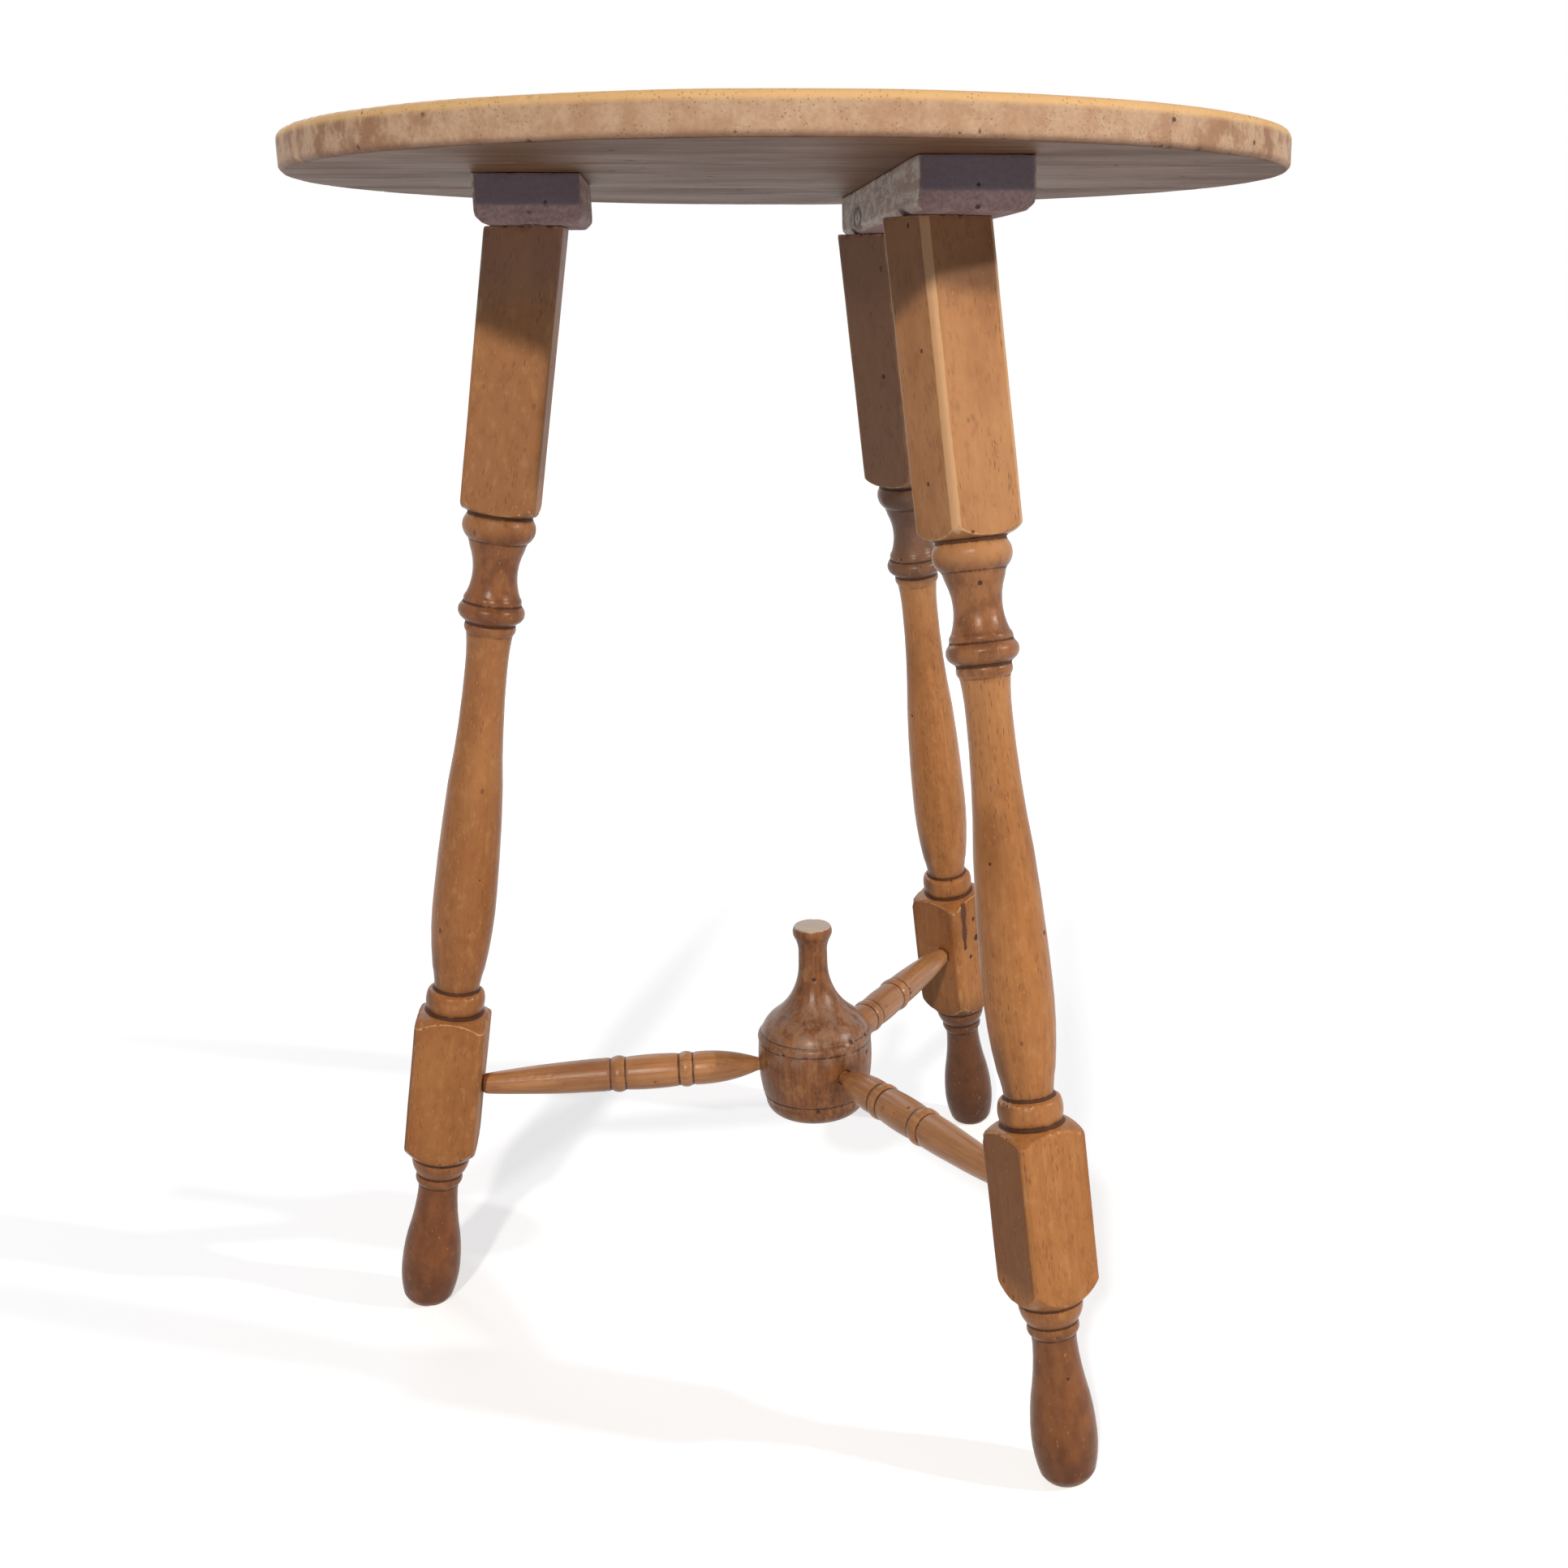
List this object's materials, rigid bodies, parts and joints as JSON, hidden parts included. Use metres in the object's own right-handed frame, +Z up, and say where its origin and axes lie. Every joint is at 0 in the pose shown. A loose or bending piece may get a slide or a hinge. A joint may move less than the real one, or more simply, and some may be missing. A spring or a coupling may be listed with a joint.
{
  "type": "cricket table",
  "caption": "Round-topped side table on splayed turned legs, with turned stretchers that meet in a bottle-shaped hub.",
  "frame": {"origin": "on the floor under the middle of the round top", "axes": "+Z up; the two battens under the top run along Y; the single leg on the short batten is on the -X side"},
  "size_m": [0.5, 0.4999, 0.6506],
  "materials": {
    "top": "worn satin",
    "batten": "raw, dark and dusty",
    "leg": "worn satin",
    "stretcher": "worn satin",
    "hub": "worn satin",
    "screw": "dull, rusted"
  },
  "bodies": {
    "root": {"top_board_front": "top", "top_board_middle": "top", "top_board_back": "top", "batten_right": "batten", "batten_left": "batten", "batten_screws": "screw", "hub": "hub", "leg_left": "leg", "leg_front": "leg", "leg_back": "leg", "stretcher_left": "stretcher", "stretcher_front": "stretcher", "stretcher_back": "stretcher"}
  },
  "joints": []
}
